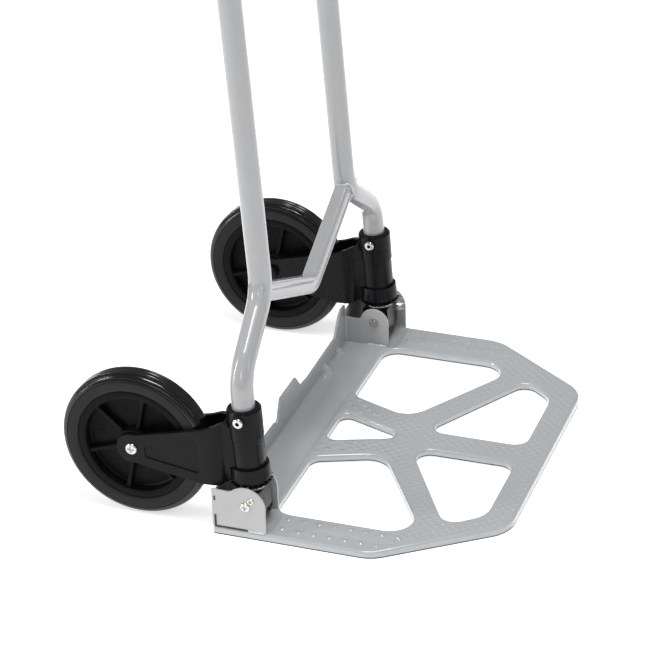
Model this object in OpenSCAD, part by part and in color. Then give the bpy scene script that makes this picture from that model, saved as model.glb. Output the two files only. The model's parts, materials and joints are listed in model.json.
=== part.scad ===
// Folding hand truck: hexagonal toe plate, two telescoping side tubes, and wheels on swing arms
// that a pair of mitre gears folds in when the toe plate folds up.
// Origin on the floor at the middle of the footprint. The load side is -Y, the wheels are at +Y,
// and left is -X. Shapes of the right side are drawn once and mirrored for the left.

/* [Toe plate] */
// Width of the toe plate
plate_w = 480; // [470:1:500]
// Length of the toe plate from its rear flange to its nose
plate_l = 303; // [290:1:320]
// Height of the toe plate's main top face above the floor
plate_top = 10; // [9:0.5:11]
// Thickness of the pressed sheet
sheet_t = 3; // [2:0.5:3]
// Width of the straight front edge
nose_w = 298; // [260:1:320]
// Length of each straight side, from the rear edge
side_l = 178; // [165:1:190]
// Step down from the main top face to the smooth rear strip
strip_drop = 0.8; // [0.4:0.1:1]

/* [Wheels] */
// Diameter of the wheels
wheel_d = 170; // [168:1:170]
// Width of the tyres
tyre_w = 28; // [24:1:28]
// Diameter of the rim inside the tyre
rim_d = 130; // [120:1:134]
// Number of ribs on each side of a wheel's web
rib_count = 6; // [4:1:10]
// Diameter of the wheel axles
axle_d = 10; // [8:0.5:10]
// Distance from the side tube to the wheel axle
arm_l = 126.9; // [124:0.1:126.9]

/* [Frame] */
// Outside diameter of the side tubes
tube_d = 25; // [25:0.1:25.2]
// Wall of the side tubes
tube_wall = 1.2; // [1:0.1:1.4]
// Distance of each side tube's lower end from the middle plane
tube_x = 213; // [213:0.1:213.4]
// Distance of each side tube's upper run from the middle plane
upper_x = 133; // [128:1:136]
// Bend radius of the side tubes
bend_r = 45; // [40:5:50]
// Backward lean of the frame
lean = 3.6; // [3:0.1:4]
// Length of the frame above the pivot
frame_l = 650; // [640:1:660]

/* [Hinge] */
// Height of the fold pivot above the floor
pivot_z = 39; // [38.5:0.1:39.5]
// Distance of the fold pivot from the rear edge of the toe plate
pivot_back = 38.05; // [38:0.05:38.2]
// Pitch radius of the mitre gears
pitch_r = 21.5; // [21.4:0.1:21.5]
// Teeth on a full gear
gear_teeth = 20; // [20:1:20]
// Diameter of the pivot pin
pin_d = 8; // [7:0.5:8]

/* [Handle] */
// Outside diameter of the handle tube
handle_d = 22; // [21.6:0.1:22]
// Wall of the handle tube
handle_wall = 1.2; // [1:0.1:1.5]
// Height of the grip's centre above the pivot with the handle out
handle_top = 1001; // [960:1:1040]
// Lower end of the handle tube above the pivot with the handle out
handle_foot = 565; // [560:1:568]
// Bend radius of the handle tube
handle_bend = 55; // [45:1:60]

/* [Hidden] */
$fn = 48;

steel_grey = [0.66, 0.67, 0.67];
sheet_grey = [0.70, 0.72, 0.73];
plastic_black = [0.12, 0.12, 0.13];
rubber_black = [0.07, 0.07, 0.07];
zinc = [0.80, 0.80, 0.78];
brass = [0.78, 0.62, 0.25];
nylon = [0.88, 0.87, 0.82];

// Radial clearance of parts that turn or slide on each other
fit = 0.06;
// Gap between the end faces of parts that turn past each other
end_gap = 0.3;

wheel_r = wheel_d / 2;
wheel_zl = (wheel_r - pivot_z + arm_l * sin(lean)) / cos(lean);
plate_to_wheel_rear = arm_l * cos(lean) + wheel_zl * sin(lean) - pivot_back + wheel_r;
front_y = -(plate_l + plate_to_wheel_rear) / 2;
rear_y = front_y + plate_l;
pivot_y = rear_y - pivot_back;

tube_r = tube_d / 2;
tube_foot = -14;
jog_z = 120;
// The jog rises 3 for every 4 inward, so its sine and cosine are whole tenths
jog_angle = atan2(4, 3);
jog_l = (tube_x - upper_x - 2 * bend_r * (1 - cos(jog_angle))) / sin(jog_angle);
jog_end_x = tube_x - bend_r * (1 - cos(jog_angle)) - jog_l * sin(jog_angle);
jog_end_z = jog_z + bend_r * sin(jog_angle) + jog_l * cos(jog_angle);
upper_z = jog_end_z + bend_r * sin(jog_angle);

// The crossbar's apex and the points where its legs meet the tubes, along the frame
apex_z = 145;
crossbar_end = [149, 209];
crossbar_h = 20;
crossbar_d = 18;
crossbar_corner_r = 4.5;
weld_r = 2.2;

// Sleeve stack round each side tube, heights above the pivot
shoe_top = 14;
shoe_half = 15.6;
shoe_bar = [[-10, -26], [10, -26], [10, 3], [-10, 3]];
washer_top = 15.5;
crown_foot = 15.8;
crown_neck_top = 24.2;
crown_top = 40;
barrel_top = 88;
ring_foot = 74;
upper_collar_top = 108;
barrel_r = 17.8;
crown_r = 21.5;
upper_collar_r = 18.8;
collar_screw_z = 98;
collar_boss_r = 7.5;
collar_boss_h = 0.8;
small_screw_r = 2.5;
small_head_r = 5.7;

// Mitre gears: heights of the teeth above and below the pitch line at the large end
gear_tip = 1.9;
gear_root = 2.5;
tooth_half = 1.36;
tooth_slope = 0.42;
tooth_pitch = 360 / gear_teeth;
crown_scale = crown_foot / pitch_r;
sector_inner = 16.3;
sector_scale = sector_inner / pitch_r;

// Bracket cheeks, distances outward from the tube's axis
outer_cheek = 23.8;
cheek_t = 2.4;
inner_cheek = -24;
inner_cheek_t = 3;
lobe_r = 22.7;
inner_lobe_r = 17.5;
cheek_foot = plate_top - strip_drop - pivot_z;
cheek_rear_top = 15.5;
pin_head_r = 5.4;
// The rivet that locks the sector gear to the cheek, as (y, z) about the pivot
rivet_at = [-6.5, 8];
rivet_r = 2.5;
rivet_head_r = 3.6;

// Fork of the swing arm
fork_half = 20;
fork_gap_half = tyre_w / 2 + 1.2;
eye_r = 17;
arm_foot = 18.8;
neck_centre = [2, 38];
pocket_floor = 46;
panel = [[50, 31], [112, 44.7], [112, 58.5], [50, 73]];
panel_depth = 1.4;
axle_head_r = 6.6;
cap_r = 8;
cap_l = 7;

// Handle, lock and bridge, heights above the pivot
handle_r = handle_d / 2;
bridge_foot = 622;
bridge_top = 649.5;
bridge_half = 158;
bridge_depth = 20;
bridge_wall = 3;
bridge_corner_r = 12;
bridge_hollow = 112;
bridge_screw_r = 2;
bridge_boss_r = 5;
bridge_head_r = 4;
bridge_head_h = 2.2;
screw_xs = [-90, -40, 40, 90];
lock_z = 636;
lock_tip = handle_r + 0.35;
lock_r = 3;
lock_flange_r = 5;
plunger_r = 9;
plunger_bore = 5.8;
plunger_top = bridge_depth + 12;
knob_r = 11;
bush_h = 12;
plug_l = 20;
grip_r = 14.5;
grip_half = 72;
grip_ring_r = 16;

// Coil spring that holds a lock pin in
spring_r = 4.5;
spring_wire = 0.7;
spring_turns = 4;
spring_from = 15.4;
spring_to = plunger_top - 2.8;
spring_sides = 8;
spring_steps = 14 * spring_turns;

// Toe plate: outline, openings and flange, measured from the middle of the rear edge
half_w = plate_w / 2;
half_nose = nose_w / 2;
plate_corner_rs = [26, 42, 40, 40, 42, 26];
strip_l = 48;
bracket_strip_l = 64;
bracket_strip_w = 56;
rear_opening = [[71.7, -53.4], [42.7, -129.5], [189.5, -221], [190, -53.4]];
rear_opening_rs = [16, 27, 25, 20];
front_opening = [[19.5, -152], [19, -272.3], [130.5, -272.3], [160, -235]];
front_opening_rs = [15.5, 16, 32, 16];
middle_opening = [[-33.3, -53.4], [0, -146], [33.3, -53.4]];
middle_opening_rs = [11, 10, 11];
// The openings' common middle line lies a little to the left of the plate's
opening_shift = -5;
opening_wall = 2.5;
opening_depth = 8.5;
foot_l = 30;
// Outline of the flange from the bracket inward, up to its raised middle
flange_end = [
    [half_w - bracket_strip_w, 0], [half_w - bracket_strip_w, 59], [172, 59], [164, 55],
    [147, 33], [53, 31]
];
flange_right = concat(flange_end, [[36, 33], [29, 35], [14, 52.5]]);
flange_left = concat(flange_end, [[49, 28.5], [45, 30.5], [35, 52.5]]);

// Wheels: rim, hub and tyre
rim_r = rim_d / 2;
rim_inner = rim_r - 8.5;
rim_inset = 1.5;
hub_r = 19;
web_half = 2;
rib_half = 9;
rib_t = 4;
rib_phase = 42;
bush_r = axle_d / 2 + 2;
hub_half = fork_gap_half - end_gap;
tyre_half = tyre_w / 2;
tread_r = 9;
bead_l = 9;

// ---- functions on outlines ----

function unit(v) = v / norm(v);
function left_of(v) = [-v.y, v.x];
function before(p, i) = p[(i + len(p) - 1) % len(p)];
function after(p, i) = p[(i + 1) % len(p)];
function mirrored(p) = [for (i = [len(p) - 1:-1:0]) [-p[i].x, p[i].y]];
function arc(centre, r, a0, a1, steps) =
    [for (i = [0:steps]) let (a = a0 + (a1 - a0) * i / steps) centre + r * [cos(a), sin(a)]];

// An anticlockwise outline moved inward by d
function inset(p, d) = [
    for (i = [0:len(p) - 1])
        let (n = left_of(unit(p[i] - before(p, i))), m = left_of(unit(after(p, i) - p[i])))
        p[i] + d * (n + m) / (1 + n * m)
];

// An outline with its corners turned into arcs of radius r, or of radii listed corner by corner
function rounded(p, radii, steps = 5) = [
    for (i = [0:len(p) - 1])
        let (
            r = is_list(radii) ? radii[i] : radii,
            a = unit(before(p, i) - p[i]),
            b = unit(after(p, i) - p[i]),
            half = acos(a * b) / 2,
            centre = p[i] + unit(a + b) * r / sin(half),
            from = p[i] + a * r / tan(half) - centre,
            to = p[i] + b * r / tan(half) - centre,
            turn = 180 - 2 * half
        )
        for (k = [0:steps])
            centre + (from * sin(turn * (1 - k / steps)) + to * sin(turn * k / steps)) / sin(turn)
];

// Outline of gear teeth number first to last round the origin, angles measured from +v towards +u
function polar(r, a) = r * [sin(a), cos(a)];
function tooth_angle(r) = (tooth_half - (r - pitch_r) * tooth_slope) / r * 180 / PI;
function teeth(first, last, start) = [
    for (i = [first:last])
        let (
            a = start + i * tooth_pitch,
            tip = pitch_r + gear_tip,
            root = pitch_r - gear_root
        )
        each [
            polar(root, a - tooth_angle(root)),
            polar(tip, a - tooth_angle(tip)),
            polar(tip, a + tooth_angle(tip)),
            polar(root, a + tooth_angle(root))
        ]
];

// ---- placing ----

// Frame that leans back about the fold pivot
module in_frame() translate([0, pivot_y, pivot_z]) rotate([-lean, 0, 0]) children();

// Frame whose origin is on the fold pivot and stays level with the toe plate
module at_pivot() translate([0, pivot_y, pivot_z]) children();

// Draws a right-hand shape on the chosen side
module on_side(left) {
    if (left) mirror([1, 0, 0]) children();
    else children();
}

// Extrudes a (y, z) outline outward along x, from x0 to x0 + t
module plate_yz(x0, t) translate([x0, 0, 0]) rotate([90, 0, 90]) linear_extrude(t) children();

// Round bar along x
module bar_x(r, x0, x1) translate([x0, 0, 0]) rotate([0, 90, 0]) cylinder(r = r, h = x1 - x0);

module ring(r, bore, h) difference() {
    cylinder(r = r, h = h);
    translate([0, 0, -1]) cylinder(r = bore, h = h + 2);
}

// ---- frame ----

module tube_section(r, wall) difference() {
    circle(r = r);
    circle(r = r - wall);
}

module side_section() tube_section(tube_r, tube_wall);

// Bend from the vertical through jog_angle towards -X, round the origin
module bend() intersection() {
    rotate([90, 0, 0]) rotate_extrude(angle = 90) translate([bend_r, 0]) children();
    rotate([0, -jog_angle, 0]) translate([0, -50, -200]) cube([200, 100, 200]);
}

// Upper bend and the straight jog below it
module jog() {
    translate([upper_x + bend_r, 0, upper_z]) rotate([0, 180, 0]) bend() children();
    translate([jog_end_x, 0, jog_end_z]) rotate([0, -jog_angle, 0]) translate([0, 0, -jog_l])
        linear_extrude(jog_l) children();
}

module side_tube(left) color(steel_grey) in_frame() on_side(left) difference() {
    union() {
        translate([tube_x, 0, tube_foot]) linear_extrude(jog_z - tube_foot) side_section();
        translate([tube_x - bend_r, 0, jog_z]) bend() side_section();
        jog() side_section();
        translate([upper_x, 0, upper_z]) linear_extrude(frame_l - upper_z) side_section();
    }
    bar_x(pin_d / 2 + fit, tube_x - tube_r - 1, tube_x + tube_r + 1);
    translate([0, 0, collar_screw_z]) bar_x(small_screw_r, tube_x - tube_r - 1, tube_x + tube_r + 1);
    translate([upper_x, 0, lock_z]) rotate([-90, 0, 0]) cylinder(r = lock_r + 0.4, h = tube_r + 1);
}

module crossbar_leg() {
    run = crossbar_end - [0, apex_z];
    section = [
        [-crossbar_h / 2, -crossbar_d / 2], [crossbar_h / 2, -crossbar_d / 2],
        [crossbar_h / 2, crossbar_d / 2], [-crossbar_h / 2, crossbar_d / 2]
    ];
    translate([0, 0, apex_z]) rotate([0, atan2(run.x, run.y), 0])
        translate([0, 0, -crossbar_h])
            linear_extrude(norm(run) + crossbar_h - 9)
                polygon(rounded(section, crossbar_corner_r));
}

module crossbar() color(steel_grey) in_frame() {
    for (left = [false, true])
        on_side(left) difference() {
            intersection() {
                crossbar_leg();
                translate([0, -50, 0]) cube([300, 100, 300]);
            }
            jog() circle(r = tube_r);
        }
}

// Weld beads round the ends of the crossbar: two short beads on each tube
module frame_welds() color(steel_grey) in_frame() {
    run = crossbar_end - [0, apex_z];
    for (left = [false, true])
        on_side(left) translate([0, 0, apex_z]) rotate([0, atan2(run.x, run.y), 0])
            for (side = [-1, 1])
                translate([side * crossbar_h / 2, 0, norm(run) - tube_r - 0.5])
                    rotate([90, 0, 0]) cylinder(r = weld_r, h = crossbar_d - 6, center = true);
}

module upper_collar(left) color(plastic_black) in_frame() on_side(left) translate([tube_x, 0, 0])
    difference() {
        union() {
            translate([0, 0, barrel_top + end_gap])
                cylinder(r = upper_collar_r, h = upper_collar_top - 2 - barrel_top - end_gap);
            translate([0, 0, upper_collar_top - 2])
                cylinder(r1 = upper_collar_r, r2 = upper_collar_r - 1.6, h = 2);
            translate([0, 0, collar_screw_z])
                bar_x(collar_boss_r, -upper_collar_r - collar_boss_h, upper_collar_r + collar_boss_h);
        }
        translate([0, 0, barrel_top - 1]) cylinder(r = tube_r, h = 30);
        translate([0, 0, collar_screw_z]) bar_x(small_screw_r, -upper_collar_r - 2, upper_collar_r + 2);
    }

// Bolt through the collar and the tube, with a crossed pan head on both sides
module collar_screw(left) color(zinc) in_frame() on_side(left)
    translate([tube_x, 0, collar_screw_z]) {
        head_from = upper_collar_r + collar_boss_h;
        bar_x(small_screw_r, -head_from, head_from);
        for (side = [0, 180])
            rotate([0, 0, side]) difference() {
                union() {
                    bar_x(small_head_r, head_from, head_from + 1.2);
                    translate([head_from + 1.2, 0, 0]) rotate([0, 90, 0])
                        cylinder(r1 = small_head_r, r2 = small_head_r - 1.5, h = 1);
                }
                for (turn = [0, 90])
                    rotate([turn, 0, 0]) translate([head_from + 1, -2.6, -0.6]) cube([2, 5.2, 1.2]);
            }
    }

// Foot round the lower end of the side tube, bored for the pivot pin
module tube_shoe(left) color(plastic_black) in_frame() on_side(left) translate([tube_x, 0, 0])
    difference() {
        union() {
            plate_yz(-shoe_half, 2 * shoe_half) polygon(rounded(
                [[-13.8, -17], [12, -20], [17, -12], [17, shoe_top], [-13.8, shoe_top]], 3));
            plate_yz(inner_cheek + 0.6, 9.4) polygon(rounded(shoe_bar, 2));
        }
        translate([0, 0, tube_foot]) cylinder(r = tube_r, h = 40);
        bar_x(pin_d / 2 + fit, -30, 20);
    }

module thrust_washer(left) color(nylon) in_frame() on_side(left) translate([tube_x, 0, shoe_top])
    ring(15.6, tube_r, washer_top - shoe_top);

// Nylon guide in the mouth of the side tube
module tube_bush(left) color(plastic_black) in_frame() on_side(left)
    translate([upper_x, 0, 0]) difference() {
        union() {
            translate([0, 0, frame_l - bush_h]) cylinder(r = tube_r - tube_wall, h = bush_h);
            translate([0, 0, frame_l]) cylinder(r = tube_r + 1, h = 3);
            translate([0, 0, frame_l + 3]) cylinder(r1 = tube_r + 1, r2 = tube_r - 0.4, h = 1.5);
        }
        translate([0, 0, frame_l - bush_h - 1]) cylinder(r = handle_r + fit, h = bush_h + 8);
    }

// Outline of the bridge across the tube tops, seen from the front
module bridge_outline() polygon(rounded([
    [bridge_half, bridge_foot], [bridge_half, bridge_top],
    [-bridge_half, bridge_top], [-bridge_half, bridge_foot]
], bridge_corner_r));

// Half of the bridge: front is -1 or +1 for the half towards -Y or +Y
module bridge_half_shell(front) difference() {
    translate([0, front > 0 ? bridge_depth : 0, 0]) rotate([90, 0, 0])
        linear_extrude(bridge_depth) bridge_outline();
    for (side = [-1, 1])
        translate([side * upper_x, 0, bridge_foot - 1]) cylinder(r = tube_r, h = 40);
    // Hollow middle between the screw bosses
    translate([0, front > 0 ? bridge_depth - bridge_wall : 0.001, 0]) rotate([90, 0, 0])
        linear_extrude(bridge_depth - bridge_wall) difference() {
            translate([-bridge_hollow, bridge_foot + bridge_wall])
                square([2 * bridge_hollow, bridge_top - bridge_foot - 2 * bridge_wall]);
            for (x = screw_xs) translate([x, lock_z]) circle(r = bridge_boss_r);
        }
    for (x = screw_xs)
        translate([x, 0, lock_z]) rotate([90, 0, 0])
            cylinder(r = bridge_screw_r, h = 3 * bridge_depth, center = true);
}

module bridge_front() color(plastic_black) in_frame() bridge_half_shell(-1);

module bridge_rear() color(plastic_black) in_frame() difference() {
    union() {
        bridge_half_shell(1);
        for (side = [-1, 1])
            translate([side * upper_x, bridge_depth, lock_z]) rotate([-90, 0, 0])
                cylinder(r = plunger_r, h = plunger_top - bridge_depth);
    }
    for (side = [-1, 1])
        translate([side * upper_x, 0, lock_z]) rotate([-90, 0, 0]) {
            cylinder(r = plunger_bore, h = plunger_top - 2);
            cylinder(r = lock_r + fit, h = 40);
        }
}

// Four screws driven in from the rear
module bridge_screws() color(zinc) in_frame()
    for (x = screw_xs)
        translate([x, 0, lock_z]) rotate([90, 0, 0]) {
            translate([0, 0, -bridge_depth]) cylinder(r = bridge_screw_r, h = bridge_depth + 14);
            translate([0, 0, -bridge_depth - bridge_head_h]) difference() {
                cylinder(r = bridge_head_r, h = bridge_head_h);
                for (turn = [0, 90])
                    rotate([0, 0, turn]) translate([-2, -0.5, -1]) cube([4, 1, bridge_head_h]);
            }
        }

function spring_point(i) = let (a = 360 * i * spring_turns / spring_steps)
    [spring_r * cos(a), spring_r * sin(a),
        spring_from + (spring_to - spring_from) * i / spring_steps];
function spring_ring(i) =
    let (
        p = spring_point(i),
        out = unit([p.x, p.y, 0]),
        along = unit(cross(out, spring_point(i + 1) - spring_point(i - 1)))
    )
    [for (k = [0:spring_sides - 1])
        p + spring_wire * (out * cos(360 * k / spring_sides) + along * sin(360 * k / spring_sides))];

module lock_spring(left) color(zinc) in_frame() on_side(left)
    translate([upper_x, 0, lock_z]) rotate([-90, 0, 0])
        polyhedron(
            points = [for (i = [0:spring_steps]) each spring_ring(i)],
            faces = concat(
                [[for (k = [spring_sides - 1:-1:0]) k]],
                [for (i = [0:spring_steps - 1], k = [0:spring_sides - 1])
                    let (a = i * spring_sides, n = (k + 1) % spring_sides)
                    [a + k, a + n, a + spring_sides + n, a + spring_sides + k]],
                [[for (k = [0:spring_sides - 1]) spring_steps * spring_sides + k]]
            )
        );

// ---- toe plate body ----

function plate_corners() = [
    [-half_w, 0], [-half_w, -side_l], [-half_nose, -plate_l],
    [half_nose, -plate_l], [half_w, -side_l], [half_w, 0]
];

function grown(radii, d) = [for (r = radii) r + d];

// An anticlockwise opening grown by the given distance
module opening(p, radii, grow) polygon(rounded(inset(p, -grow), grown(radii, grow)));

// Openings on both sides and the middle one
module all_openings(grow) translate([opening_shift, 0]) {
    for (left = [false, true])
        on_side(left) {
            opening(rear_opening, rear_opening_rs, grow);
            opening(front_opening, front_opening_rs, grow);
        }
    opening(middle_opening, middle_opening_rs, grow);
}

module plate_outline(shrink) polygon(
    rounded(inset(plate_corners(), shrink), grown(plate_corner_rs, -shrink)));

// Square rear corner, because the plate's outline is rounded there, open below as the rest is
module rear_corner() translate([half_w - foot_l, -foot_l, 0]) difference() {
    cube([foot_l, foot_l, plate_top]);
    translate([-1, -1, -1])
        cube([foot_l + 1 - sheet_t, foot_l + 1 - sheet_t, plate_top - sheet_t + 1]);
}

module toe_plate() color(sheet_grey) translate([0, rear_y, 0]) {
    difference() {
        union() {
            translate([0, 0, plate_top - sheet_t]) linear_extrude(sheet_t) plate_outline(0);
            linear_extrude(plate_top - 1) difference() {
                plate_outline(0);
                plate_outline(sheet_t);
            }
            translate([0, 0, plate_top - opening_depth]) linear_extrude(opening_depth - 1)
                all_openings(opening_wall);
            for (left = [false, true]) on_side(left) rear_corner();
        }
        translate([0, 0, -1]) linear_extrude(plate_top + 2) all_openings(0);
        // Smooth strip along the rear edge, longer beside the openings, where the brackets stand
        translate([-half_w - 1, -strip_l, plate_top - strip_drop]) cube([plate_w + 2, 50, 5]);
        for (left = [false, true])
            on_side(left)
                translate([half_w - bracket_strip_w, -bracket_strip_l, plate_top - strip_drop])
                    cube([bracket_strip_w + 1, bracket_strip_l, 5]);
    }
    rotate([90, 0, 0]) linear_extrude(sheet_t)
        polygon(concat(flange_right, mirrored(flange_left)));
}

// Upper half of a cheek's edge round the pivot, from the rear to the front
function cheek_outline(r, rear_top, lobe_end) = concat(
    [[pivot_back, cheek_foot], [pivot_back, rear_top + 1]],
    [[lobe_end + 5, rear_top]],
    arc([0, 0], r, asin((rear_top + 1) / r), 180, 14),
    [[-r, cheek_foot]]
);

module bracket(left) color(sheet_grey) at_pivot() on_side(left) translate([tube_x, 0, 0])
    difference() {
        union() {
            plate_yz(outer_cheek, cheek_t)
                polygon(cheek_outline(lobe_r, cheek_rear_top,
                    sqrt(pow(lobe_r, 2) - pow(cheek_rear_top + 1, 2))));
            plate_yz(inner_cheek - inner_cheek_t, inner_cheek_t)
                polygon(cheek_outline(inner_lobe_r, 2, sqrt(pow(inner_lobe_r, 2) - 9)));
            translate([inner_cheek - inner_cheek_t, pivot_back - 3, cheek_foot])
                cube([outer_cheek - inner_cheek + inner_cheek_t, 3, 40]);
        }
        bar_x(pin_d / 2, inner_cheek - 10, outer_cheek + 10);
        translate([0, rivet_at.x, rivet_at.y]) bar_x(rivet_r, 10, outer_cheek + 10);
    }

// Fillet welds along the feet of the brackets
module bracket_welds() color(sheet_grey) at_pivot()
    for (left = [false, true])
        on_side(left) {
            translate([tube_x + outer_cheek + cheek_t, -3, cheek_foot]) rotate([90, 0, 0])
                cylinder(r = 1.6, h = 17);
            translate([tube_x + inner_cheek - inner_cheek_t, 10, cheek_foot]) rotate([90, 0, 0])
                cylinder(r = 2, h = 24);
            translate([tube_x - 12, pivot_back - 3, cheek_foot]) rotate([0, 90, 0])
                cylinder(r = 2, h = 24);
        }

// Bevel gear sector whose teeth run from just behind the top to just below the front
module sector_gear(left) color(zinc) at_pivot() rotate([-lean, 0, 0]) on_side(left)
    translate([tube_x, 0, 0]) {
        root = pitch_r - gear_root;
        web = concat(teeth(0, 6, -tooth_pitch / 2), [polar(root, 108), polar(9, 140), polar(9, 240)],
            [polar(root, -16)]);
        back = concat(arc([0, 0], root - 0.5, 104, -14, 16), [polar(9, 240), polar(9, 140)]);
        difference() {
            union() {
                translate([pitch_r, 0, 0]) rotate([90, 0, -90])
                    linear_extrude(pitch_r - sector_inner, scale = sector_scale) polygon(web);
                translate([outer_cheek, 0, 0]) rotate([90, 0, -90])
                    linear_extrude(outer_cheek - pitch_r)
                        polygon([for (p = back) [p.y, p.x]]);
                bar_x(8.5, sector_inner, outer_cheek);
            }
            bar_x(pin_d / 2, 10, outer_cheek + 10);
            rotate([lean, 0, 0]) translate([0, rivet_at.x, rivet_at.y])
                bar_x(rivet_r, 10, outer_cheek + 10);
        }
    }

module gear_rivet(left) color(brass) at_pivot() on_side(left)
    translate([tube_x, rivet_at.x, rivet_at.y]) {
    bar_x(rivet_r, sector_inner + 0.2, outer_cheek + cheek_t);
    bar_x(rivet_head_r, outer_cheek + cheek_t, outer_cheek + cheek_t + 1.3);
}

module pivot_pin(left) color(zinc) at_pivot() on_side(left) translate([tube_x, 0, 0]) {
    bar_x(pin_d / 2, inner_cheek - inner_cheek_t - 2.5, outer_cheek + cheek_t);
    translate([outer_cheek + cheek_t, 0, 0]) rotate([0, 90, 0]) {
        cylinder(r = pin_head_r, h = 1);
        translate([0, 0, 1]) cylinder(r1 = pin_head_r, r2 = pin_head_r - 1.8, h = 1);
    }
    bar_x(pin_head_r, inner_cheek - inner_cheek_t - 2, inner_cheek - inner_cheek_t);
}

// ---- swing arms ----

// Moves to the wheel's centre
module at_wheel(left) in_frame() on_side(left) translate([tube_x, arm_l, wheel_zl]) children();

module crown_collar(left) color(plastic_black) in_frame() on_side(left) translate([tube_x, 0, 0])
    difference() {
        union() {
            translate([0, 0, pitch_r]) mirror([0, 0, 1])
                linear_extrude(pitch_r - crown_foot, scale = crown_scale)
                    polygon(teeth(0, gear_teeth - 1, 90));
            translate([0, 0, crown_foot]) cylinder(r = 14.2, h = 8);
            translate([0, 0, pitch_r]) cylinder(r = pitch_r - gear_root, h = 4);
            translate([0, 0, crown_neck_top]) cylinder(r = crown_r, h = 3);
            translate([0, 0, crown_neck_top + 3])
                cylinder(r1 = crown_r, r2 = crown_r - 1, h = crown_top - crown_neck_top - 3);
        }
        translate([0, 0, crown_foot - 1]) cylinder(r = tube_r + fit, h = 60);
        translate([0, 0, crown_top - 6]) cylinder(r = barrel_r - 1.8, h = 10);
    }

// Side view of the arm behind the barrel, with the axle eye at its far end
module arm_side() {
    polygon([
        [8, 30], [22, 21.5], [29, arm_foot], [48, arm_foot + 0.4], [85, 27.4],
        [arm_l - 3, wheel_zl - eye_r], [arm_l + 3, wheel_zl + eye_r - 2],
        [79, 78], [45, 84.5], [33, 88.5], [22, 91.8], [8, 91.8]
    ]);
    translate([arm_l, wheel_zl]) circle(r = eye_r);
}

// Plan view: a neck behind the barrel that rounds out to the given half width
module arm_plan(half_width, neck, start) {
    round = arc([neck_centre.x, neck_centre.y], half_width - neck_centre.x, -52, 0, 10);
    side = concat([[neck, start]], round, [[half_width, 200]]);
    polygon(concat(side, mirrored(side)));
}

module arm_body() difference() {
    intersection() {
        plate_yz(-fork_half, 2 * fork_half) arm_side();
        linear_extrude(200) arm_plan(fork_half, 13.2, 8);
    }
    // Clear of the crown collar below and of the fixed collar above
    cylinder(r = crown_r + 0.4, h = crown_top);
    translate([0, 0, barrel_top]) cylinder(r = upper_collar_r + collar_boss_h + 0.4, h = 20);
    // Open box between the cheeks, and the gap for the wheel
    translate([0, 0, pocket_floor]) linear_extrude(100) arm_plan(fork_gap_half, 9, 21.4);
    translate([0, arm_l, wheel_zl]) bar_x(wheel_r + 1.5, -fork_gap_half, fork_gap_half);
}

module arm(left) color(plastic_black) in_frame() on_side(left) translate([tube_x, 0, 0]) difference() {
    union() {
        arm_body();
        translate([0, 0, crown_top]) cylinder(r = barrel_r, h = barrel_top - crown_top);
        translate([0, 0, crown_top - 5.8]) cylinder(r = barrel_r - 2, h = 6);
        translate([0, 0, ring_foot]) cylinder(r = barrel_r + 0.8, h = barrel_top - ring_foot);
    }
    translate([0, 0, crown_top - 10]) cylinder(r = tube_r + fit, h = 80);
    translate([0, arm_l, wheel_zl]) bar_x(axle_d / 2, -30, 30);
    // Shallow panel in the outer cheek
    plate_yz(fork_half - panel_depth, panel_depth + 1) polygon(rounded(panel, 4));
    // Room for the bracket's inner cheek when the truck is folded
    translate([0, 0, 15]) ring(29.5, 22.5, 6.2);
}

module axle(left) color(zinc) at_wheel(left) {
    bar_x(axle_d / 2, -fork_half - 5, fork_half);
    translate([fork_half, 0, 0]) rotate([0, 90, 0]) {
        cylinder(r = axle_head_r, h = 1.2);
        translate([0, 0, 1.2]) cylinder(r1 = axle_head_r, r2 = axle_head_r - 2.2, h = 1.3);
    }
}

// Cap pressed on the inboard end of the axle
module axle_cap(left) color(plastic_black) at_wheel(left) difference() {
    rotate([0, -90, 0]) {
        translate([0, 0, fork_half]) cylinder(r = cap_r, h = cap_l - 1.5);
        translate([0, 0, fork_half + cap_l - 1.5]) cylinder(r1 = cap_r, r2 = cap_r - 1.5, h = 1.5);
    }
    bar_x(axle_d / 2, -fork_half - 5, -fork_half + 2);
}

// ---- wheels ----

module turned() rotate([0, 90, 0]) rotate_extrude() children();

module wheel_hub(left) color(plastic_black) at_wheel(left) {
    turned() {
        translate([rim_inner, -tyre_half + rim_inset])
            square([rim_r - rim_inner, tyre_w - 2 * rim_inset]);
        translate([bush_r, -web_half]) square([rim_inner - bush_r + 1, 2 * web_half]);
        translate([bush_r, -hub_half]) square([hub_r - bush_r, 2 * hub_half]);
    }
    for (i = [0:rib_count - 1])
        rotate([rib_phase + lean + i * 360 / rib_count, 0, 0])
            translate([-rib_half, hub_r - 2, -rib_t / 2])
                cube([2 * rib_half, rim_inner - hub_r + 3, rib_t]);
}

module wheel_bush(left) color(nylon) at_wheel(left) translate([-hub_half, 0, 0])
    rotate([0, 90, 0]) ring(bush_r, axle_d / 2 + fit, 2 * hub_half);

function tyre_section() = concat(
    [[rim_r, -tyre_half + 2], [rim_r + bead_l, -tyre_half]],
    arc([wheel_r - tread_r, -tyre_half + tread_r], tread_r, -90, -8, 5),
    arc([wheel_r - tread_r, tyre_half - tread_r], tread_r, 8, 90, 5),
    [[rim_r + bead_l, tyre_half], [rim_r, tyre_half - 2]]
);

module tyre(left) color(rubber_black) at_wheel(left) turned() polygon(tyre_section());

// ---- handle ----

module handle_leg_section() tube_section(handle_r, handle_wall);

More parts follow.
